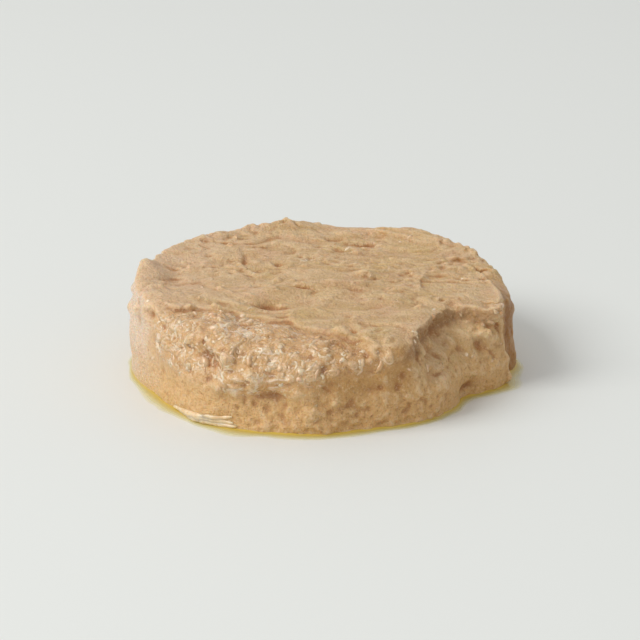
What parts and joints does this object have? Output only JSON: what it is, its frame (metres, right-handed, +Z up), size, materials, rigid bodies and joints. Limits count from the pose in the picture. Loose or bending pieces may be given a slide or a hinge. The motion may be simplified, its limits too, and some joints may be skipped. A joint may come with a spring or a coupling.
{
  "type": "pet food pate disc",
  "caption": "Low round disc of moist minced fish pate turned out of a can, with a torn front rim and a flap that overlaps its side. It rests on its flat foot.",
  "frame": {"origin": "middle of the bottom of the disc's box, on the surface that it rests on", "axes": "+Z up along the shortest extent, -Y the front with the torn rim, +X the side with the flap"},
  "size_m": [0.08, 0.076, 0.0208],
  "materials": {
    "pate": "satin",
    "sinew": "gloss",
    "juice": "gloss"
  },
  "bodies": {
    "root": {"pate": "pate"}
  },
  "joints": []
}
